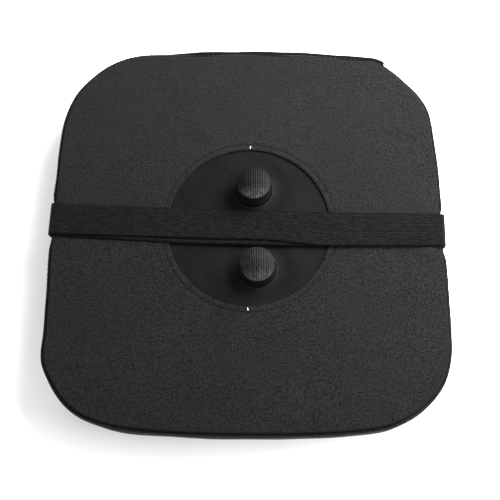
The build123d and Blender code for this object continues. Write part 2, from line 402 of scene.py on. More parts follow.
def cover_material(name, shade, gloss):
    """Charcoal polyester in a fine plain weave with a satin sheen."""
    material, tree, shader = new_material(name)
    place = object_place(tree)
    along = attribute(tree, "weave_u")
    across = attribute(tree, "weave_v")
    warp = sine(tree, along, 0.62 * MM)
    weft = sine(tree, across, 0.70 * MM)
    weave = product(tree, warp, weft)
    slub = smooth_ramp(tree, noise(tree, place, 620, 2, 0.7), 0.34, 0.68)
    mottle = noise(tree, place, 34, 3, 0.55)
    cloud = noise(tree, place, 8, 2, 0.5)
    tone = weighted(tree, product(tree, weave, 0.10), (slub, 1.10), (mottle, 0.25), (cloud, 0.25))
    tone = maths(tree, "SUBTRACT", tone, 0.36)
    sewn = attribute(tree, "sewn")
    # Painted shade: the seam mask darkens the colour in and beside the seam grooves.
    tone = product(tree, tone, one_minus(tree, sewn))
    # A shade below 1 darkens every colour as painted shade; the zip lip's copy uses it.
    dark = (0.0014 * shade, 0.0014 * shade, 0.0017 * shade)
    light = (0.0125 * shade, 0.0120 * shade, 0.0126 * shade)
    paint(tree, shader, tone, dark, light)
    rough = times_plus(tree, slub, 0.36, 0.36)
    rough = maths(tree, "MINIMUM", times_plus(tree, sewn, 0.7, rough), 1.0)
    link(tree, rough, shader.inputs["Roughness"])
    height = times_plus(tree, slub, 0.8, weave)
    bumped(tree, shader, height, 0.38 * MM, 1.0)
    levels = {"Sheen Weight": 0.02 * gloss, "Sheen Roughness": 0.4, "Specular IOR Level": 0.075 * gloss}
    set_levels(shader, levels)
    return material


def knit_material():
    """Dark stretch knit with very fine lengthwise ribs, lighter where it is pulled open."""
    material, tree, shader = new_material("stretch_knit")
    place = object_place(tree)
    x, y, _ = split(tree, place)
    rib = sine(tree, x, 0.8 * MM)
    loop = sine(tree, y, 0.55 * MM)
    grain = noise(tree, place, 700, 2, 0.6)
    mottle = noise(tree, place, 60, 3, 0.6)
    opened = attribute(tree, "opened")
    tone = weighted(tree, product(tree, rib, 0.08), (grain, 0.55), (mottle, 0.55), (opened, 1.0))
    tone = maths(tree, "SUBTRACT", tone, 0.45)
    paint(tree, shader, tone, (0.0010, 0.0010, 0.0013), (0.0082, 0.0079, 0.0082))
    height = weighted(tree, rib, (loop, 0.5), (grain, 0.5))
    bumped(tree, shader, height, 0.08 * MM, 0.7)
    levels = {"Roughness": 0.62, "Sheen Weight": 0.01, "Sheen Roughness": 0.4, "Specular IOR Level": 0.045}
    set_levels(shader, levels)
    return material


def node_knit_material():
    """The same knit stretched over a node: shiny open ribs on the dome, closed and black on the wall. The
    dome's colour carries painted light: a painted highlight towards its lower rim and painted shade towards
    its top.
    """
    material, tree, shader = new_material("node_knit")
    place = object_place(tree)
    _, y, _ = split(tree, place)
    rib = attribute(tree, "rib")
    dome = attribute(tree, "dome")
    dashes = dashes_along(tree, place, (900, 260, 260))
    loop = sine(tree, y, 0.8 * MM)
    rubbed = attribute(tree, "rubbed")
    lit = product(tree, rib, smooth_ramp(tree, dashes, 0.3, 0.7))
    tone = times_plus(tree, lit, 0.75, 0.10)
    # Painted light on the dome: darker towards its top as painted shade, lighter towards its lower rim as a
    # painted highlight.
    tone = product(tree, tone, product(tree, dome, rubbed))
    tone = times_plus(tree, one_minus(tree, dome), 0.055, tone)
    paint(tree, shader, tone, (0.0008, 0.0008, 0.0010), (0.075, 0.073, 0.073))
    height = times_plus(tree, loop, 0.3, dashes)
    bumped(tree, shader, height, 0.12 * MM, 0.7)
    link(tree, times_plus(tree, dome, -0.42, 0.86), shader.inputs["Roughness"])
    shader.inputs["Specular IOR Level"].default_value = 0.05
    return material


def elastic_material():
    """Ribbed black elastic, with cross threads between its ribs."""
    material, tree, shader = new_material("strap_elastic")
    place = object_place(tree)
    along = attribute(tree, "weave_u")
    across = attribute(tree, "weave_v")
    pick = sine(tree, along, 0.9 * MM)
    rib = sine(tree, across, STRAP_WIDTH / STRAP_RIBS, -math.pi / 2)
    dashes = smooth_ramp(tree, dashes_along(tree, place, (260, 900, 500)), 0.32, 0.68)
    mottle = noise(tree, place, 30, 3, 0.5)
    lit = product(tree, rib, times_plus(tree, dashes, 0.8, 0.2))
    tone = weighted(tree, product(tree, pick, 0.08), (lit, 1.1), (mottle, 0.3))
    tone = maths(tree, "SUBTRACT", tone, 0.30)
    from_middle = maths(tree, "ABSOLUTE", across)
    # Painted shade along both edges of the strap: the colour falls to black within about a millimetre of
    # each edge.
    edge_painted_shade = smooth_ramp(tree, from_middle, STRAP_WIDTH / 2 - 1.3 * MM, STRAP_WIDTH / 2 - 0.5 * MM)
    tone = product(tree, tone, one_minus(tree, edge_painted_shade))
    paint(tree, shader, tone, (0.0004, 0.0004, 0.0006), (0.0090, 0.0087, 0.0090))
    height = times_plus(tree, dashes, 0.8, pick)
    bumped(tree, shader, height, 0.2 * MM, 1.0)
    levels = {"Roughness": 0.58, "Sheen Weight": 0.02, "Sheen Roughness": 0.4, "Specular IOR Level": 0.035}
    set_levels(shader, levels)
    return material


def thread_material(name, dark, light, gloss):
    """Twisted sewing thread."""
    material, tree, shader = new_material(name)
    place = object_place(tree)
    x, y, z = split(tree, place)
    slant = maths(tree, "ADD", maths(tree, "ADD", x, y), z)
    twist = sine(tree, slant, 0.45 * MM)
    grain = noise(tree, place, 2500, 2)
    tone = times_plus(tree, grain, 0.5, product(tree, twist, 0.5))
    paint(tree, shader, tone, dark, light)
    bumped(tree, shader, twist, 0.05 * MM, 0.6)
    set_levels(shader, {"Roughness": 0.6, "Specular IOR Level": gloss})
    return material


def plastic_material(name, dark, light, roughness):
    """Moulded nylon or plastic with a little unevenness."""
    material, tree, shader = new_material(name)
    place = object_place(tree)
    grain = noise(tree, place, 600, 3)
    paint(tree, shader, grain, dark, light)
    link(tree, times_plus(tree, grain, 0.2, roughness - 0.1), shader.inputs["Roughness"])
    bumped(tree, shader, grain, 0.02 * MM, 0.5)
    return material


def enamel_material():
    """Black enamel on zinc, worn a little brighter in places."""
    material, tree, shader = new_material("zip_enamel")
    place = object_place(tree)
    worn = smooth_ramp(tree, noise(tree, place, 450, 4, 0.7), 0.62, 0.72)
    paint(tree, shader, worn, (0.012, 0.012, 0.013), (0.16, 0.155, 0.15))
    link(tree, times_plus(tree, worn, 0.7, 0.1), shader.inputs["Metallic"])
    set_levels(shader, {"Roughness": 0.32, "Coat Weight": 0.3})
    return material


def smooth_ramp(tree, value, low, high):
    """0 below low, 1 above high."""
    node = tree.nodes.new("ShaderNodeMapRange")
    node.interpolation_type = "SMOOTHSTEP"
    link(tree, value, node.inputs["Value"])
    node.inputs["From Min"].default_value = low
    node.inputs["From Max"].default_value = high
    return node.outputs["Result"]


COVER = cover_material("cover_fabric", 1.0, 1.0)
# A darker, less glossy copy of the cover material, as painted shade on the zip lip.
LIP_PAINTED_SHADE = cover_material("cover_lip", 0.35, 0.3)
KNIT = knit_material()
NODE_KNIT = node_knit_material()
ELASTIC = elastic_material()
BLACK_THREAD = thread_material("black_thread", (0.0008, 0.0008, 0.001), (0.004, 0.004, 0.0045), 0.05)
WHITE_THREAD = thread_material("white_thread", (0.62, 0.62, 0.60), (0.9, 0.9, 0.88), 0.3)
NYLON = plastic_material("zip_nylon", (0.012, 0.012, 0.013), (0.03, 0.03, 0.032), 0.35)
MOULDED = plastic_material("core_plastic", (0.05, 0.05, 0.05), (0.09, 0.09, 0.09), 0.55)
ENAMEL = enamel_material()
FOAM = plastic_material("pad_foam", (0.35, 0.34, 0.30), (0.50, 0.49, 0.44), 0.9)
STEEL = plastic_material("screw_steel", (0.30, 0.30, 0.31), (0.50, 0.50, 0.51), 0.35)
TACK_THREAD = thread_material("tack_thread", (0.004, 0.004, 0.0045), (0.022, 0.022, 0.023), 0.2)


# ---------------------------------------------------------------- cover


def panel_outline(count):
    """Distance from the opening's centre to the cushion's edge, and the edge's outward normal, by angle."""
    node = frame["nodes"]["cover_node_panel"]
    points = np.array([v.co[:] for v in node.data.vertices])
    middle = (np.array(PANEL_LOW[:2]) + np.array(PANEL_HIGH[:2])) / 2
    rim = points[np.hypot(*(points[:, :2] - middle).T) > NEAR_EDGE][:, :2]
    turn = np.arctan2(rim[:, 1] - OPENING[1], rim[:, 0] - OPENING[0])
    order = np.argsort(turn)
    rim, turn = rim[order], turn[order]
    loop = np.concatenate((rim, rim[:1]))
    steps = np.concatenate(([0], np.cumsum(np.hypot(*np.diff(loop, axis=0).T))))
    even = np.linspace(0, steps[-1], 2001)[:-1]
    loop = np.stack([np.interp(even, steps, loop[:, i]) for i in (0, 1)], -1)
    width = 9
    kernel = np.hanning(2 * width + 1)
    kernel /= kernel.sum()
    loop = sum(k * np.roll(loop, i - width, 0) for i, k in enumerate(kernel))
    turn = np.arctan2(loop[:, 1] - OPENING[1], loop[:, 0] - OPENING[0])
    reach = np.hypot(loop[:, 0] - OPENING[0], loop[:, 1] - OPENING[1])
    order = np.argsort(turn)
    angles = np.linspace(-math.pi, math.pi, count, endpoint=False)
    reach = np.interp(angles, turn[order], reach[order], period=2 * math.pi)
    return angles, reach


def irregular(x, y):
    """How far the real seam stands out of the clean outline: bunched corners and a pulled-in stretch."""
    bumps = (
        (-112, 197, 2.8, 40),
        (140, 190, 2.8, 12),
        (100, -197, 1.3, 60),
        (150, -180, -1.2, 30),
        (-199, -70, -1.3, 60),
        (197, 75, 0.8, 45),
        (106, 194, -1.8, 20),
        (168, 163, -1.6, 16),
        (-197, -130, 2.2, 16),
        (190, -150, 0.8, 16),
        (-137, -187, -1.8, 20),
        (-185, 130, -0.8, 24),
        (183, 130, 1.2, 14),
    )
    total = np.zeros_like(x)
    for place_x, place_y, height, width in bumps:
        away = np.hypot(x - place_x * MM, y - place_y * MM) / (width * MM)
        total += height * MM * np.exp(-away * away)
    return total


def strap_line(x):
    """The strap's middle line across the cushion."""
    return STRAP_Y + math.tan(STRAP_TURN) * x


def crown_height(y):
    """How far the plain side has rolled up from the floor."""
    return np.maximum(0, CROWN_RADIUS - CROWN_DIP - np.sqrt(CROWN_RADIUS**2 - y**2))


class CoverGrid:
    """The cover as rings of points: from the opening's edge, over the node side, down the band and
    in under the plain side."""

    def __init__(self, around, fine):
        self.angles, reach = panel_outline(around)
        heading = np.stack((np.cos(self.angles), np.sin(self.angles)), -1)
        edge = OPENING + heading * reach[:, None]
        ahead = np.roll(edge, -1, 0) - np.roll(edge, 1, 0)
        normal = np.stack((ahead[:, 1], -ahead[:, 0]), -1)
        normal /= np.linalg.norm(normal, axis=1)[:, None]
        proud = EDGE_PROUD + irregular(edge[:, 0], edge[:, 1])
        self.proud = proud * (1 - self.held_by_strap(edge))
        edge = edge + normal * self.proud[:, None]
        self.heading = heading
        self.edge = edge
        self.normal = normal
        self.low_seam = crown_height(edge[:, 1]) + LOW_SEAM_RISE
        self.rings, self.zone, self.mark = [], [], []
        self.node_side(fine)
        self.band(fine)
        self.plain_side(fine)
        self.points = np.array(self.rings)
        self.zone = np.array(self.zone)

    def held_by_strap(self, edge):
        """1 where the strap's legs press on the side band, and 0 away from them."""
        x, y = edge.T
        away = np.abs(y - strap_line(x) + 1.5 * MM)
        return (np.abs(x) > NEAR_EDGE) * (1 - smooth_step(away, 15 * MM, 30 * MM))

    def out_by(self, distance):
        """The outline moved outwards, or inwards where the distance is below 0."""
        return self.edge + self.normal * distance

    def add(self, flat, z, zone, mark):
        """One more ring, with its zone and its place in the zone."""
        ring = np.empty((len(self.angles), 3))
        ring[:, :2] = flat
        ring[:, 2] = z
        self.rings.append(ring)
        self.zone.append(zone)
        self.mark.append(mark)

    def node_side(self, fine):
        """Turned-in hem, its stitch line, the flat panel and its rolled outer edge."""
        fold = ((2.4, -1.90), (0.5, -1.92), (0.05, -1.65), (0.0, -1.2), (0.1, -0.6), (0.45, -0.12))
        lap = ((1.0, 0.16), (2.0, 0.30), (3.4, 0.30), (4.6, 0.18))
        groove = ((-0.75, -0.05), (-0.25, -0.32), (0.25, -0.32), (0.75, -0.05))
        beyond = ((1.8, 0.12), (3.2, 0.14), (5.0, 0.08))
        hem = [(HEM_INNER + out * MM, rise * MM) for out, rise in fold + lap]
        hem += [(STITCH_RADIUS + out * MM, rise * MM) for out, rise in groove + beyond]
        first = 0 if fine else 4
        for radius, rise in hem[first :: 1 if fine else 3]:
            self.add(OPENING + self.heading * radius, FACE_Z + rise, "hem", radius)
        start = OPENING + self.heading * (STITCH_RADIUS + 8 * MM)
        end = self.out_by(-SEAM_INSET - 5 * MM)
        steps = 42 if fine else 22
        for t in np.linspace(0, 1, steps):
            self.add(start + (end - start) * t, FACE_Z, "panel", t)
        depths = (4.2, 3.4, EDGE_ROLL / MM, 1.9, 1.2, 0.7, 0.3, 0.05) if fine else (EDGE_ROLL / MM,)
        for depth in depths:
            inside = max(0.0, 1 - (1 - depth * MM / EDGE_ROLL) ** 2) if depth * MM < EDGE_ROLL else 1
            drop = EDGE_ROLL * (1 - math.sqrt(inside))
            self.add(self.out_by(-SEAM_INSET - depth * MM), FACE_Z - drop, "edge", depth)
        if not fine:
            self.add(self.out_by(-GROOVE_DEPTH), ROLL_Z - 0.8 * MM, "seam", 0)
            return
        for out, drop, zone in ((-0.15, 0.9, "edge"), (0.0, 1.7, "seam"), (0.3, 1.75, "seam")):
            self.add(self.out_by(out * MM - SEAM_INSET), ROLL_Z - drop * MM, zone, 0)

    def bulge(self, t, z):
        """How far the band stands out: full in the middle, nothing at the seams, held in by the strap
        and hollowed where the zip runs."""
        full = (1 - np.abs(2 * t - 1) ** 3.2) ** 0.62
        x, y = self.edge.T
        at_strap = self.held_by_strap(self.edge)
        amount = BULGE * full * (1 - 0.9 * at_strap)
        top = smooth_step(y, 0.165, 0.185) * (1 - smooth_step(np.abs(x), WINDOW_END, WINDOW_END + 25 * MM))
        amount = amount * (1 - 0.85 * top)
        near_zip = 1 - smooth_step(np.abs(z - ZIP_Z), WINDOW_HALF - 0.5 * MM, WINDOW_HALF + 0.5 * MM)
        near_zip = near_zip * (1 - smooth_step(np.abs(x), WINDOW_END - 1 * MM, WINDOW_END + 1 * MM))
        return amount - near_zip * (y > NEAR_EDGE) * (WINDOW_DEPTH + self.proud + amount)

    def band(self, fine):
        """The side band between the two seams."""
        high = ROLL_Z - 0.8 * MM
        held = self.held_by_strap(self.edge)
        if fine:
            rim = 1 - 0.9 * held[:, None]
            rolled = ((0.5, 1.0, 0.002), (0.8, 0.62, 0.006), (1.5, 0.5, 0.012), (2.9, 1.0, 0.022))
            for out, drop, t in rolled:
                flat = self.out_by((0.5 + (out - 0.5) * rim) * MM - SEAM_INSET)
                self.add(flat, ROLL_Z - drop * MM, "band", t)
        ends = (0.97, 0.988) if fine else ()
        for t in (*np.linspace(0.05, 0.95, 44 if fine else 12), *ends):
            z = high + (self.low_seam - high) * t
            out = self.bulge(t, z) - GROOVE_DEPTH * (1 - min(1, 14 * (1 - t)))
            if fine:
                out = out + (0.3 + 0.5 * held) * MM * (1 - smooth_step(t, 0.05, 0.2))
            self.add(self.out_by(out[:, None]), z, "band", t)
        self.add(self.out_by(-GROOVE_DEPTH), self.low_seam, "seam", 1)

    def plain_side(self, fine):
        """The plain side, rounded in from its seam to the flat it lies on."""
        centre = np.zeros(2)
        steps = 46 if fine else 26
        for t in np.linspace(0, 1, steps)[1:]:
            inward = t**1.5
            flat = self.edge * (1 - inward) + centre * inward
            depth = np.linalg.norm(self.edge - flat, axis=1)
            rounding = np.clip(1 - depth / (22 * MM), 0, 1) ** 2.4
            z = crown_height(flat[:, 1]) + LOW_SEAM_RISE * rounding
            self.add(flat, z, "plain", t)


def puffed(coarse):
    """How far each point of the coarse cover moves out when it is filled: a cloth simulation with
    pressure, held at its seams, its opening and where the strap presses."""
    rows, cols, _ = coarse.points.shape
    points = coarse.points.reshape(-1, 3)
    faces = grid_faces(rows, cols, wrap_cols=True)
    thing = add_mesh("puff_source", points, faces, COVER)
    held = np.zeros((rows, cols))
    held[np.isin(coarse.zone, ("seam", "hem"))] = 1
    held[-1] = 1
    x, y = points[:, 0].reshape(rows, cols), points[:, 1].reshape(rows, cols)
    on_top = (coarse.zone == "panel")[:, None]
    held = np.maximum(held, 0.6 * on_top * (np.abs(y - strap_line(x)) < 15 * MM))
    group = thing.vertex_groups.new(name="held")
    for index in np.flatnonzero(held.ravel() > 0):
        group.add([int(index)], float(held.ravel()[index]), "REPLACE")
    cloth = thing.modifiers.new("fill", "CLOTH")
    settings = cloth.settings
    settings.quality = 5
    settings.mass = 0.3
    settings.tension_stiffness = 25
    settings.compression_stiffness = 25
    settings.shear_stiffness = 10
    settings.bending_stiffness = 2.0
    settings.use_pressure = True
    settings.uniform_pressure_force = 4.0
    settings.vertex_group_mass = "held"
    settings.effector_weights.gravity = 0
    cloth.point_cache.frame_start = 1
    cloth.point_cache.frame_end = 20
    for number in range(1, 21):
        bpy.context.scene.frame_set(number)
    shaped = thing.evaluated_get(bpy.context.evaluated_depsgraph_get())
    result = np.zeros(rows * cols * 3, np.float32)
    shaped.data.vertices.foreach_get("co", result)
    normals = np.zeros(rows * cols * 3, np.float32)
    thing.data.vertices.foreach_get("normal", normals)
    bpy.context.scene.frame_set(1)
    bpy.data.objects.remove(thing)
    moved = ((result.reshape(-1, 3) - points) * normals.reshape(-1, 3)).sum(1)
    return moved.reshape(rows, cols)


def grid_normals(points):
    """Unit normals of a grid that wraps across."""
    down = np.gradient(points, axis=0)
    across = np.roll(points, -1, 1) - np.roll(points, 1, 1)
    normal = np.cross(across, down)
    length = np.linalg.norm(normal, axis=2)[..., None]
    return normal / np.maximum(length, 1e-12)


def fit_puff(coarse, fine, moved):
    """The coarse cover's movement carried to the finer rings, capped softly in each zone."""
    limits = {
        "panel": (PUFF_CAP_TOP, 0.10, 0.93),
        "plain": (PUFF_CAP_PLAIN, 0.10, 1.0),
        "band": (PUFF_CAP_BAND, 0.08, 0.92),
    }
    offsets = np.zeros(fine.points.shape[:2])
    for zone, (cap, opens, closes) in limits.items():
        from_rows = np.flatnonzero(coarse.zone == zone)
        to_rows = np.flatnonzero(fine.zone == zone)
        from_marks = np.array([coarse.mark[i] for i in from_rows], float)
        to_marks = np.array([fine.mark[i] for i in to_rows], float)
        fade = smooth_step(to_marks, 0, opens)
        if closes < 1:
            fade = fade * (1 - smooth_step(to_marks, closes, 1.0))
        block = np.array(
            [np.interp(fine.angles, coarse.angles, row, period=2 * math.pi) for row in moved[from_rows]]
        )
        column = np.array([np.interp(to_marks, from_marks, block[:, i]) for i in range(block.shape[1])]).T
        offsets[to_rows] = cap * np.tanh(column / cap) * fade[:, None]
    return offsets


def build_cover():
    """The padded cushion: filled by simulation, then its wrinkles, seams and hem."""
    fine = CoverGrid(640, fine=True)
    offsets = np.zeros(fine.points.shape[:2])
    coarse = CoverGrid(240, fine=False)
    offsets = fit_puff(coarse, fine, puffed(coarse))
    points = fine.points.copy()
    x, y, z = points[..., 0], points[..., 1], points[..., 2]
    normal = grid_normals(points)
    zone = fine.zone
    is_panel = (zone == "panel")[:, None]
    is_band = (zone == "band")[:, None]
    is_plain = (zone == "plain")[:, None]
    marks = np.array(fine.mark, float)[:, None]
    soft = is_panel * smooth_step(marks, 0, 0.15) * (1 - smooth_step(marks, 0.9, 1.0))
    drift = 0.35 * MM * waves(x, y, 11, 0.085) + 0.14 * MM * waves(x, y, 12, 0.030)
    offsets = offsets + soft * drift
    side_drift = (is_band | is_plain) * 0.35 * MM * waves(x + z, y - z, 13, 0.05)
    offsets = offsets + side_drift * (1 - is_plain * 0.5)
    offsets = offsets + seam_puckers(fine, marks)
    offsets = offsets - soft * strap_dimples(x, y)
    offsets = offsets * (1 - in_zip_window(x, y, z))
    points += normal * offsets[..., None]
    plain_floor = 0.25 * MM
    points[..., 2] = np.maximum(points[..., 2], plain_floor)
    rows, cols, _ = points.shape
    flat = points.reshape(-1, 3)
    faces = grid_faces(rows - 1, cols, wrap_cols=True)
    last = (rows - 2) * cols
    flat = np.concatenate((flat[: (rows - 1) * cols], [[0, 0, plain_floor]]))
    faces += [[last + i, last + (i + 1) % cols, (rows - 1) * cols] for i in range(cols)]
    cover = add_mesh("cushion_cover", flat, [face[::-1] for face in faces], COVER)
    shading = {
        "weave_u": np.where(is_band, running_length(fine.edge)[None, :], x),
        "weave_v": np.where(is_band, z, y),
        # The seam mask: painted shade in and beside the seams, also read for roughness.
        "sewn": np.broadcast_to(seam_shade(fine, marks), (rows, cols)),
    }
    for name, values in shading.items():
        float_attribute(cover, name, np.append(values.reshape(-1)[: (rows - 1) * cols], 0))
    fabric = ("cover_node_panel", "cover_gusset", "cover_plain_panel", "opening_hem")
    stand_in(cover, "root", "cover_fabric", *fabric, "foam_core", "inset_backing_pad")
    return fine


def in_zip_window(x, y, z):
    """1 in the hollow that the zip runs in, where nothing may swell towards the slider."""
    level = 1 - smooth_step(np.abs(z - ZIP_Z), WINDOW_HALF + 0.6 * MM, WINDOW_HALF + 2.5 * MM)
    along = 1 - smooth_step(np.abs(x), WINDOW_END + 1 * MM, WINDOW_END + 6 * MM)
    return level * along * (y > NEAR_EDGE)


def seam_puckers(fine, marks):
    """Small gathers beside the two seams and along the hem, which fade away from the stitching."""
    length = running_length(fine.edge)[None, :]
    ripple = np.sin(length / (5.2 * MM) * 2 * math.pi + 1.7 * np.sin(length / 0.043))
    slow = 0.5 + 0.5 * np.sin(length / 0.071 * 2 + 0.8)
    zone = fine.zone
    near_panel_edge = (zone == "panel")[:, None] * smooth_step(marks, 0.90, 1.0)
    near_roll = (zone == "edge")[:, None] * 1.0
    by_seams = np.exp(-((marks / 0.09) ** 2)) + np.exp(-(((1 - marks) / 0.09) ** 2))
    near_band = (zone == "band")[:, None] * by_seams
    amount = 0.10 * MM * (near_panel_edge + near_roll) + 0.22 * MM * near_band
    hem_turn = fine.angles[None, :] * HEM_INNER
    hem_ripple = np.sin(hem_turn / (3.1 * MM) * 2 * math.pi)
    near_hem = (zone == "hem")[:, None] * (marks > HEM_INNER + 0.3 * MM) * (marks < STITCH_RADIUS)
    return amount * ripple * (0.4 + 0.6 * slow) + 0.05 * MM * near_hem * hem_ripple


def seam_shade(fine, marks):
    """1 in the two seams, fading over the rolled edges beside them: painted shade that darkens the cloth's
    colour in and beside the seam grooves, where the cloth is also made matt.
    """
    zone = fine.zone[:, None]
    rolled = (1 - 0.85 * smooth_step(marks, 0.0, 2.0)) * (marks < EDGE_ROLL / MM)
    band_ends = np.clip(1 - marks / 0.008, 0, 1) + np.clip((marks - 0.98) / 0.01, 0, 1)
    shade = (zone == "seam") + (zone == "edge") * rolled + (zone == "band") * band_ends
    return shade + (zone == "plain") * np.clip(1 - marks / 0.03, 0, 1)


def strap_dimples(x, y):
    """Where the strap's ends pull the panel in, most at the lower right."""
    right = np.exp(-(((x - 0.181) / 0.010) ** 2) - (((y + 0.023) / 0.006) ** 2))
    left = np.exp(-(((x + 0.184) / 0.010) ** 2) - (((y + 0.016) / 0.005) ** 2))
    return 2.6 * MM * right + 0.5 * MM * left


fine_cover = build_cover()


# ---------------------------------------------------------------- opening


def build_inset():
    """The stretch inset: a taut sheet that dips round each node, with a hole for each."""
    step = 1.2 * MM
    reach = HEM_OUTER - 1.5 * MM
    count = int(reach / step)
    places = np.arange(-count, count + 1) * step
    x, y = np.meshgrid(places, places, indexing="ij")
    inside = np.hypot(x, y) < reach
    x, y = x + OPENING[0], y + OPENING[1]
    z = np.full_like(x, INSET_TOP)
    opened = np.zeros_like(x)
    for centre in NODE_CENTRES.values():
        away = np.hypot(x - centre[0], y - centre[1])
        z -= 0.9 * MM * np.exp(-(((away - 27 * MM) / (7 * MM)) ** 2))
        inside &= away > COLLAR_INNER + 0.6 * MM
        opened += 0.10 * np.exp(-(((away - 21 * MM) / (4 * MM)) ** 2))
    z += 0.12 * MM * waves(x, y, 21, 0.040)
    z = np.minimum(z, FACE_Z - 2.0 * MM)
    numbers = -np.ones(inside.shape, int)
    numbers[inside] = np.arange(inside.sum())
    corner = (numbers[:-1, :-1], numbers[1:, :-1], numbers[1:, 1:], numbers[:-1, 1:])
    quads = np.stack([c.ravel() for c in corner], -1)
    quads = quads[(quads >= 0).all(1)]
    used = np.unique(quads)
    renumber = -np.ones(inside.sum(), int)
    renumber[used] = np.arange(len(used))
    points = np.stack((x[inside], y[inside], z[inside]), -1)[used]
    inset = add_mesh("inset_knit", points, renumber[quads].tolist(), KNIT)
    float_attribute(inset, "opened", opened[inside][used])
    stand_in(inset, "root", "stretch_knit", "inset_panel")


def cap_centre(node):
    low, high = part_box(node)
    return np.array(((low.x + high.x) / 2, (low.y + high.y) / 2))


NODE_CENTRES = {name: cap_centre(f"node_{name}_cap") for name in ("upper", "lower")}
CAP_LOW, CAP_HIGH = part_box("node_upper_cap")
CAP_RADIUS = (CAP_HIGH.x - CAP_LOW.x) / 2
COLLAR_INNER = CAP_RADIUS + 0.35 * MM
build_inset()


def build_collar(name, centre):
    """The gathered rim of knit that each node comes up through."""
    # how far out, how high, and how far the knit is pulled open there
    profile = (
        (6.2, -0.95, 0.02),
        (4.8, -0.80, 0.05),
        (3.6, -0.45, 0.08),
        (2.6, 0.15, 0.15),
        (1.8, 0.75, 0.4),
        (1.1, 1.15, 0.75),
        (0.55, 1.20, 0.7),
        (0.15, 0.95, 0.2),
        (0.0, 0.4, 0),
        (0.0, -0.6, 0),
        (0.0, -2.0, 0),
        (0.0, -3.6, 0),
    )
    turn = full_turn(240)
    rings = []
    for out, rise, _ in profile:
        gather = 0.10 * np.sin(46 * turn + 2.0 * np.sin(3 * turn)) * min(1, out / 1.5)
        radius = COLLAR_INNER + out * MM
        z = INSET_Z + (rise + gather) * MM
        rings.append(round_ring(centre, radius, turn, z))
    points = np.array(rings).reshape(-1, 3)
    faces = grid_faces(len(profile), len(turn), wrap_cols=True)
    collar = add_mesh(f"node_{name}_rim", points, [face[::-1] for face in faces], KNIT)
    float_attribute(collar, "opened", np.repeat([opened for _, _, opened in profile], len(turn)))
    stand_in(collar, "root", "stretch_knit", f"node_{name}_collar")


def build_cap(name, centre):
    """A press node: ribbed knit pulled over a domed core, with a firm rim and a wall that widens down.
    Its dome's colour carries painted light: a painted highlight towards the lower rim and painted shade
    towards the top."""
    top_z = CAP_HIGH.z
    edge = 1.5 * MM
    sag = 3.4 * MM
    rim = CAP_RADIUS - 1.3 * MM
    inner = rim - edge
    low_z = CAP_LOW.z + 0.3 * MM
    rings = [(inner * t, top_z - sag * (inner * t / rim) ** 2, 1.0) for t in np.linspace(0.015, 1, 36)]
    shoulder_z = rings[-1][1]
    lean = math.atan(2 * sag / rim)
    for a in np.linspace(lean, math.pi / 2, 9)[1:]:
        radius = inner + edge * (math.sin(a) - math.sin(lean)) / (1 - math.sin(lean))
        z = shoulder_z - edge * (math.cos(lean) - math.cos(a))
        rings.append((radius, z, 1 - smooth_step(a, 0.85, 1.35)))
    wall_top = rings[-1][1]
    for t in np.linspace(0, 1, 18)[1:]:
        z = wall_top + (low_z - wall_top) * t
        widen = smooth_step(wall_top - z, 0, wall_top - INSET_Z)
        rings.append((rim + (CAP_RADIUS - rim) * widen, z, 0.0))
    turn = full_turn(420)
    pitch = 2.35 * MM
    rows, ribs, domes, dome_painted_lights = [], [], [], []
    # Painted light for each node's dome: the darkest painted shade at the top and the brightest painted
    # highlight at the lower rim.
    least, most = {"upper": (0.05, 0.98), "lower": (0.17, 0.9)}[name]
    for radius, z, dome in rings:
        x = radius * np.cos(turn)
        y = radius * np.sin(turn)
        wander = 0.22 * MM * np.sin(y / (9 * MM) + x / (5 * MM))
        rib = 0.5 + 0.5 * np.cos(2 * math.pi * (x + wander) / pitch)
        lift = 0.24 * MM * rib * min(1.0, radius / (2 * MM)) - 0.2 * MM
        out = 1 + (1 - dome) * 0.5 * lift / radius
        rows.append(np.stack((centre[0] + x * out, centre[1] + y * out, z + dome * lift), -1))
        ribs.append(rib)
        domes.append(np.full_like(x, dome))
        # Painted light: lighter towards the lower rim and a little to the right, darker towards the top.
        dome_painted_lights.append(least + (most - least) * smooth_step(0.15 * x - y, 0.10 * rim, 1.0 * rim))
    points = np.array(rows).reshape(-1, 3)
    points = np.concatenate((points, [[centre[0], centre[1], top_z]]))
    faces = grid_faces(len(rows), len(turn), wrap_cols=True)
    faces += [[(i + 1) % len(turn), i, len(points) - 1] for i in range(len(turn))]
    cap = add_mesh(f"node_{name}_cover", points, [face[::-1] for face in faces], NODE_KNIT)
    float_attribute(cap, "rib", np.append(np.array(ribs).ravel(), 1))
    float_attribute(cap, "dome", np.append(np.array(domes).ravel(), 1))
    float_attribute(cap, "rubbed", np.append(np.array(dome_painted_lights).ravel(), least))
    stand_in(cap, f"node_{name}", "stretch_knit", f"node_{name}_cap")


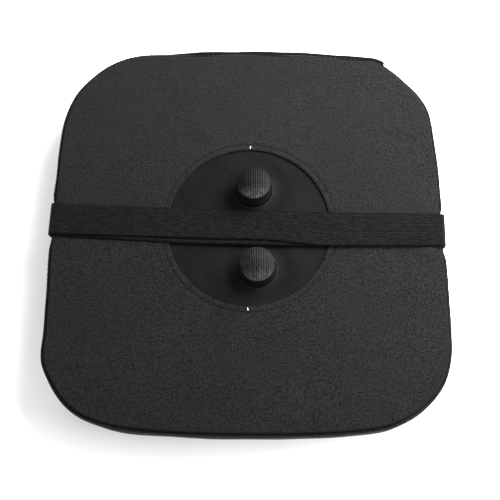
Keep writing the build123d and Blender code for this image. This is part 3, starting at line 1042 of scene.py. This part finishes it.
def build_pad(name, centre):
    """The foam pad that pushes a node back up, built in one shape that does not squash."""
    low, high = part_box(f"node_{name}_pad")
    radius = (high.x - low.x) / 2
    edge = 1.5 * MM
    profile = [(0.5 * MM, low.z), (radius - edge, low.z)]
    for a in np.linspace(-math.pi / 2, 0, 5)[1:]:
        profile.append((radius - edge + edge * math.cos(a), low.z + edge + edge * math.sin(a)))
    for t in np.linspace(0, 1, 10)[1:-1]:
        belly = 0.4 * MM * math.sin(math.pi * t)
        profile.append((radius - 0.4 * MM + belly, low.z + edge + (high.z - low.z - 2 * edge) * t))
    for a in np.linspace(0, math.pi / 2, 5):
        profile.append((radius - edge + edge * math.cos(a), high.z - edge + edge * math.sin(a)))
    profile.append((0.5 * MM, high.z))
    turn = full_turn(96)
    rings = [round_ring(centre, ring_radius, turn, z) for ring_radius, z in profile]
    faces = grid_faces(len(rings), len(turn), wrap_cols=True)
    faces += end_rings(len(rings), len(turn))
    pad = add_mesh(f"node_{name}_foam", np.concatenate(rings), faces, FOAM)
    face_outwards(pad)
    stand_in(pad, "root", "foam", f"node_{name}_pad")
    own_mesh(pad)


for node_name, node_centre in NODE_CENTRES.items():
    build_collar(node_name, node_centre)
    build_cap(node_name, node_centre)
    build_pad(node_name, node_centre)


def build_topstitch():
    """Even stitches in the groove round the opening."""
    pitch = 3.1 * MM
    count = int(round(2 * math.pi * STITCH_RADIUS / pitch))
    pieces = []
    for i in range(count):
        middle = 2 * math.pi * i / count
        half = 0.41 * 2 * math.pi / count
        a = middle + np.linspace(-half, half, 7)
        bow = 1 - np.linspace(-1, 1, 7) ** 2
        radius = STITCH_RADIUS + 0.06 * MM * math.sin(5.0 * i)
        z = FACE_Z + (-0.34 + 0.30 * bow) * MM
        path = round_ring(OPENING, radius, a, z)
        pieces.append(tube(path, 0.21 * MM * (0.5 + 0.5 * np.sqrt(bow)), 6))
    add_joined("opening_stitches", pieces, BLACK_THREAD, "root", "black_thread", "opening_topstitch")


def build_thread_ends():
    """The two clipped ends of white thread on the hem."""
    pieces = []
    low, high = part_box("opening_thread_ends")
    half = 0.5 * MM
    for x0, y, lean in ((high.x - half, high.y - 1.5 * MM, 0.5), (low.x + half, low.y + 1.5 * MM, -0.4)):
        t = np.linspace(-1, 1, 9)
        x = x0 + lean * t * MM * 0.6
        path = np.stack((x, y + 1.5 * MM * t, FACE_Z + (0.75 - 0.25 * t * t) * MM), -1)
        pieces.append(tube(path, 0.42 * MM * (1 - 0.4 * t * t), 8))
    add_joined("white_thread_ends", pieces, WHITE_THREAD, "root", "white_thread", "opening_thread_ends")


build_topstitch()
build_thread_ends()


# ---------------------------------------------------------------- strap


def strap_rail(layer):
    """The middle of the strap's thickness from its foot, up the side, over the edge and to the centre:
    distance out and height, and the strap's thickness."""
    low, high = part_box(f"strap_{layer}_right")
    span_low, span_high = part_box(f"strap_{layer}_span")
    thickness = span_high.z - span_low.z
    face_x = high.x * math.cos(STRAP_TURN) - 0.95 * MM
    out = face_x - thickness / 2
    level = (span_low.z + span_high.z) / 2
    foot = low.z
    corner = STRAP_CORNER + thickness / 2
    climb = np.linspace(foot, level - corner, 14)
    leg = np.stack((np.full_like(climb, out), climb), -1)
    bend = np.linspace(0, math.pi / 2, 12)[1:]
    round_out = out - corner + corner * np.cos(bend)
    round_up = level - corner + corner * np.sin(bend)
    round_part = np.stack((round_out, round_up), -1)
    run = np.linspace(out - corner, 0, 84)[1:]
    flat = np.stack((run, np.full_like(run, level)), -1)
    rail = np.concatenate((leg, round_part, flat))
    return rail, thickness


def strap_edges(layer, x):
    """The strap's lower and upper edge from its middle line. The under layer sags below the top layer
    and shows in a long sliver, which the top layer covers right of the opening."""
    upper = (15.4 + 1.9 * (x / STRAP_FOOT_X) ** 2) * MM
    sagging = (20.8 - 4.2 * ((x + 0.005) / 0.185) ** 2) * MM
    if layer == "under":
        return -sagging, upper - 3.2 * MM
    own = 15.5 * MM
    lower = own + (sagging + 0.25 * MM - own) * smooth_step(x, 0.012, 0.092)
    return -lower, upper


def build_strap_half(layer, name, side):
    """One half of a strap layer, from its sewn foot to the middle of the cushion."""
    rail, thickness = strap_rail(layer)
    tangent = np.gradient(rail, axis=0)
    tangent /= np.linalg.norm(tangent, axis=1)[:, None]
    outward = np.stack((tangent[:, 1], -tangent[:, 0]), -1)
    steps = running_length(rail)
    half = thickness / 2
    per_rib = 7
    across = np.linspace(-1, 1, STRAP_RIBS * per_rib + 1)
    rib = np.abs(np.sin(np.linspace(0, STRAP_RIBS * math.pi, len(across)))) ** 0.7
    edge_thin = 1 - 0.6 * np.abs(across) ** 40
    top = half * edge_thin - 0.16 * MM * (1 - rib)
    back = np.linspace(1, -1, 17)
    section_y = np.concatenate((across, back))
    section_h = np.concatenate((top, np.full(len(back), -half) * (1 - 0.5 * np.abs(back) ** 40)))
    x_sign = side * rail[:, 0]
    lower, upper = strap_edges(layer, x_sign)
    sway = 0.20 * MM * np.sin(x_sign / 0.055) + 0.12 * MM * np.sin(x_sign / 0.021 + 1)
    middle = (lower + upper) / 2 + sway
    width = (upper - lower) / 2
    x = side * (rail[:, :1] + outward[:, :1] * -section_h[None])
    z = rail[:, 1:] - outward[:, 1:] * section_h[None]
    y = middle[:, None] + width[:, None] * section_y[None]
    turned_x = x * math.cos(STRAP_TURN) - y * math.sin(STRAP_TURN)
    turned_y = x * math.sin(STRAP_TURN) + y * math.cos(STRAP_TURN) + STRAP_Y
    points = np.stack((turned_x, turned_y, z), -1)
    rows, cols, _ = points.shape
    faces = grid_faces(rows, cols, wrap_cols=True)
    faces.append(list(range(cols))[::-1])
    if side < 0:
        faces = [face[::-1] for face in faces]
    strap = add_mesh(f"strap_{layer}_{name}_half", points.reshape(-1, 3), faces, ELASTIC)
    float_attribute(strap, "weave_u", np.repeat(steps, cols))
    float_attribute(strap, "weave_v", np.tile(section_y * STRAP_WIDTH / 2, rows))
    replaced = [f"strap_{layer}_{name}"]
    if side < 0:
        replaced.append(f"strap_{layer}_span")
    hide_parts(*replaced)
    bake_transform(strap)


def build_tacks(name, side):
    """Three zigzag bar tacks through the strap's foot."""
    low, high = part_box(f"strap_tack_{name}")
    rows = 3
    height = 2.0 * MM
    pitch = (high.z - low.z - height) / (rows - 1)
    length = high.y - low.y
    out = side * (abs(high.x if side > 0 else low.x) - 0.95 * MM)
    pieces = []
    zigzags = 24
    for row in range(rows):
        z0 = low.z + row * pitch
        t = np.linspace(0, 1, zigzags * 2 + 1)
        y = low.y + length * t
        z = z0 + height * (np.arange(len(t)) % 2)
        x = np.full_like(y, out) + (y - STRAP_Y) * math.sin(-STRAP_TURN)
        pieces.append(tube(np.stack((x, y, z), -1), 0.26 * MM, 6))
    add_joined(f"bar_tacks_{name}", pieces, TACK_THREAD, "root", "black_thread", f"strap_tack_{name}")


for strap_layer in ("under", "top"):
    for side_name, side_sign in (("left", -1), ("right", 1)):
        build_strap_half(strap_layer, side_name, side_sign)
for side_name, side_sign in (("left", -1), ("right", 1)):
    build_tacks(side_name, side_sign)


# ---------------------------------------------------------------- zip


def along_top(x, out):
    """A point of the top edge's arc, out from it."""
    radius = PANEL_HIGH.y - ZIP_CENTRE_Y
    lean = x / radius
    return (radius + out) * np.sin(lean), ZIP_CENTRE_Y + (radius + out) * np.cos(lean)


def build_coil(name, side):
    """One row of the nylon coil: a flattened helix along the tape's edge."""
    low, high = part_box(f"zip_coil_{name}")
    pitch = 1.35 * MM
    turns = int((high.x - low.x) / pitch)
    steps = 12
    phase = 0 if side > 0 else math.pi
    angle = np.linspace(0, 2 * math.pi * turns, turns * steps + 1)
    x = low.x + (high.x - low.x) * angle / angle[-1]
    out = -0.75 * MM + 0.5 * MM * np.sin(angle + phase)
    z = ZIP_Z + side * (1.25 * MM + 0.95 * MM * np.cos(angle + phase))
    px, py = along_top(x, out)
    pieces = [tube(np.stack((px, py, z), -1), 0.27 * MM, 6)]
    add_joined(f"zip_coil_turns_{name}", pieces, NYLON, "root", "zip_coil", f"zip_coil_{name}")


def build_tape(name, side):
    """Woven tape with a thin cord edge."""
    low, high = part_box(f"zip_tape_{name}")
    x = np.linspace(low.x, high.x, 200)
    near = low.z if side > 0 else high.z
    far = high.z if side > 0 else low.z
    across = np.linspace(0, 1, 20)
    rows = []
    for out in (-1.5, -2.1):
        for t in across if out > -2 else across[::-1]:
            ridge = 0.25 * math.exp(-((t / 0.06) ** 2)) if out > -2 else 0
            px, py = along_top(x, (out + ridge) * MM)
            rows.append(np.stack((px, py, np.full_like(x, near + (far - near) * t)), -1))
    points = np.array(rows).reshape(-1, 3)
    faces = grid_faces(len(rows), len(x), wrap_rows=True) + end_columns(len(rows), len(x))
    tape = add_mesh(f"zip_tape_weave_{name}", points, faces, ELASTIC)
    float_attribute(tape, "weave_u", np.tile(x, len(rows)))
    float_attribute(tape, "weave_v", points[:, 2])
    stand_in(tape, "root", "zip_tape", f"zip_tape_{name}")


def build_flap():
    """The folded lip of cover fabric that stands out over the zip."""
    low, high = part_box("zip_flap")
    tip_x = high.x + 15 * MM
    edge_x, edge_y = fine_cover.edge.T
    keep = (edge_y > 0.12) & (edge_x > low.x) & (edge_x < tip_x)
    order = np.flatnonzero(keep)[::-1]
    edge = fine_cover.edge[order]
    normal = fine_cover.normal[order]
    x = edge[:, 0]
    left_taper = smooth_step(x, low.x - 5 * MM, low.x + 60 * MM)
    right_taper = 1 - 0.25 * smooth_step(x, tip_x - 45 * MM, tip_x)
    reach = 6.4 * MM * (0.12 + 0.88 * left_taper) * right_taper
    reach = reach + 0.35 * MM * np.sin(x / 0.019) + 0.2 * MM * np.sin(x / 0.0075)
    root_z = ROLL_Z - 1.2 * MM
    tip_drop = 2.2 * MM + 0.5 * MM * np.sin(x / 0.031)
    half = 0.85 * MM
    section = []
    for t in np.linspace(0, 1, 9):
        section.append((t, half * (1 - 0.25 * t)))
    for a in np.linspace(0, math.pi, 9)[1:-1]:
        section.append((1 + 0.10 * math.sin(a), half * 0.75 * math.cos(a)))
    for t in np.linspace(1, 0, 9):
        section.append((t, -half * (1 - 0.25 * t)))
    rows = []
    for t, rise in section:
        out = -1.0 * MM + (reach + 1.0 * MM) * t
        stitch_dip = 0.35 * MM * math.exp(-(((t - 0.45) / 0.10) ** 2)) * (1 if rise > 0 else -1)
        z = root_z - tip_drop * t**1.3 + rise - stitch_dip
        point = edge + normal * out[:, None]
        rows.append(np.concatenate((point, (z + 0 * x)[:, None]), 1))
    points = np.array(rows).reshape(-1, 3)
    faces = grid_faces(len(rows), len(edge), wrap_rows=True) + end_columns(len(rows), len(edge))
    flap = add_mesh("zip_lip", points, faces, LIP_PAINTED_SHADE)
    float_attribute(flap, "weave_u", points[:, 0])
    float_attribute(flap, "weave_v", points[:, 1])
    stand_in(flap, "root", "cover_fabric", "zip_flap")


def place_by_pin(pieces, lean):
    """Slider pieces from along, across and out to their place at the pull tab's pin. Out is measured from
    the cushion's edge, which falls away by lean."""
    pin_x, pin_y, pin_z = JOINTS["zip_pull_turn"]["pos_m"]
    points, faces = joined(pieces)
    along, across, out = points.T
    level = pin_y - PIN_OUT + out - lean * along
    return np.stack((pin_x + along, level, pin_z + across), -1), faces


def build_slider():
    """The zip's slider: two shield plates on a post, and two ears that hold the pull tab's pin."""
    shield = oblong(5.4 * MM, 3.9 * MM, 0.10)
    pieces = [
        plate(shield, 0.6 * MM, 2.0 * MM, 0.45 * MM),
        plate(shield, -4.0 * MM, -2.6 * MM, 0.45 * MM),
        plate(oblong(1.9 * MM, 0.5 * MM, 0, 3.4 * MM), -3.0 * MM, 1.0 * MM, 0.1 * MM),
    ]
    lip = oblong(5.0 * MM, 0.35 * MM)
    for side in (-1, 1):
        flange = lip * (1, 1) + (0, side * 3.6 * MM)
        pieces.append(plate(flange, -0.4 * MM, 0.9 * MM, 0.12 * MM))
        ear_points, ear_faces = plate(oblong(1.45 * MM, 1.75 * MM), 2.3 * MM, 3.3 * MM, 0.25 * MM)
        along, up, across = ear_points.T
        pieces.append((np.stack((along, side * across, PIN_OUT - 0.3 * MM + up), -1), ear_faces))
    t = np.linspace(-3.4, 3.4, 5) * MM
    pieces.append(tube(np.stack((0 * t, t, 0 * t + PIN_OUT), -1), 0.62 * MM, 14))
    placed = [place_by_pin(pieces, SLIDER_LEAN)]
    face_outwards(add_joined("zip_slider_body", placed, ENAMEL, "zip_slider", "zip_metal", "zip_slider"))


def build_pull():
    """The pull tab: an eye on the pin and a tapered blade with grip ridges."""
    eye = []
    turn = full_turn(28)
    outline = ((0.78, -1.75), (1.1, -1.95), (1.25, -1.7), (1.25, 1.7), (1.1, 1.95), (0.78, 1.75))
    for radius, across in outline:
        flat = np.full_like(turn, across)
        eye.append(np.stack((radius * np.cos(turn), flat, radius * np.sin(turn) + PIN_OUT / MM), -1) * MM)
    pieces = [(np.concatenate(eye), grid_faces(len(eye), len(turn), wrap_rows=True, wrap_cols=True))]
    low = PIN_OUT - 0.5 * MM
    high = PIN_OUT + 0.5 * MM
    pieces.append(plate(oblong(10.4 * MM, 2.0 * MM, 0.14, 11.5 * MM), low, high, 0.3 * MM))
    for place in (15.0, 16.4, 17.8, 19.2):
        t = np.linspace(-1.45, 1.45, 7) * MM
        for level in (low, high):
            path = np.stack((0 * t + place * MM, t, 0 * t + level), -1)
            pieces.append(tube(path, 0.24 * MM, 8))
    placed = [place_by_pin(pieces, 0)]
    face_outwards(add_joined("zip_pull_blade", placed, ENAMEL, "zip_pull", "zip_metal", "zip_pull_tab"))


def refinish(node_name, material):
    """Gives a CAD node that stays in view its material."""
    for slot in frame["nodes"][node_name].material_slots:
        slot.material = material


for row_name, row_side in (("front", 1), ("rear", -1)):
    build_coil(row_name, row_side)
    build_tape(row_name, row_side)
build_flap()
build_slider()
build_pull()
refinish("zip_stops", ENAMEL)
for node_name in ("node_upper_core", "node_lower_core", "carrier_base", "carrier_guide_plate"):
    refinish(node_name, MOULDED)
refinish("carrier_screws", STEEL)


# ---------------------------------------------------------------- studio


def build_studio():
    """Pale floor, a strong soft light from the upper right, weaker ones round it, and the camera."""
    floor_material, tree, shader = new_material("floor")
    speck = noise(tree, object_place(tree), 40, 2)
    paint(tree, shader, speck, (0.90, 0.90, 0.90), (0.93, 0.93, 0.93))
    shader.inputs["Roughness"].default_value = 0.9
    corners = [(-4, -4, 0), (4, -4, 0), (4, 4, 0), (-4, 4, 0)]
    floor = add_mesh("floor", corners, [[0, 1, 2, 3]], floor_material, smooth=False)
    world = bpy.data.worlds.new("studio")
    bpy.context.scene.world = world
    world.use_nodes = True
    background = world.node_tree.nodes["Background"]
    background.inputs["Color"].default_value = (1.0, 1.0, 1.0, 1)
    background.inputs["Strength"].default_value = 0.90
    add_light("key", (0.44, 0.34, 0.55), (0.08, 0.08, 0.05), 0.55, 27)
    add_light("front", (0.10, -0.55, 1.15), (0.01, 0.0, 0.07), 0.22, 1)
    add_light("right", (0.52, -0.16, 0.46), (0.12, 0.0, 0.05), 0.3, 3.6)
    add_light("rear_low", (-0.35, 1.15, 0.22), (0.0, 0.1, 0.03), 0.5, 4)
    add_light("left_low", (-1.20, -0.25, 0.20), (-0.1, 0.0, 0.03), 0.5, 1)
    camera = bpy.data.cameras.new("camera")
    camera.lens = CAMERA_LENS
    camera.sensor_width = CAMERA_SENSOR
    camera.clip_start = 0.01
    holder = place_in_scene("camera", camera)
    x, y, z = CAMERA_TARGET
    back = CAMERA_DISTANCE * math.sin(CAMERA_TILT)
    up = CAMERA_DISTANCE * math.cos(CAMERA_TILT)
    holder.location = (x, y - back, z + up)
    holder.rotation_euler = (CAMERA_TILT, 0, 0)
    bpy.context.scene.camera = holder
    bpy.context.scene.view_settings.view_transform = "Standard"


def add_light(name, place, target, size, power):
    """A square soft light aimed at a point."""
    light = bpy.data.lights.new(name, "AREA")
    light.shape = "SQUARE"
    light.size = size
    light.energy = power
    holder = place_in_scene(name, light)
    holder.location = place
    aim = Vector(target) - Vector(place)
    holder.rotation_euler = aim.to_track_quat("-Z", "Y").to_euler()


build_studio()
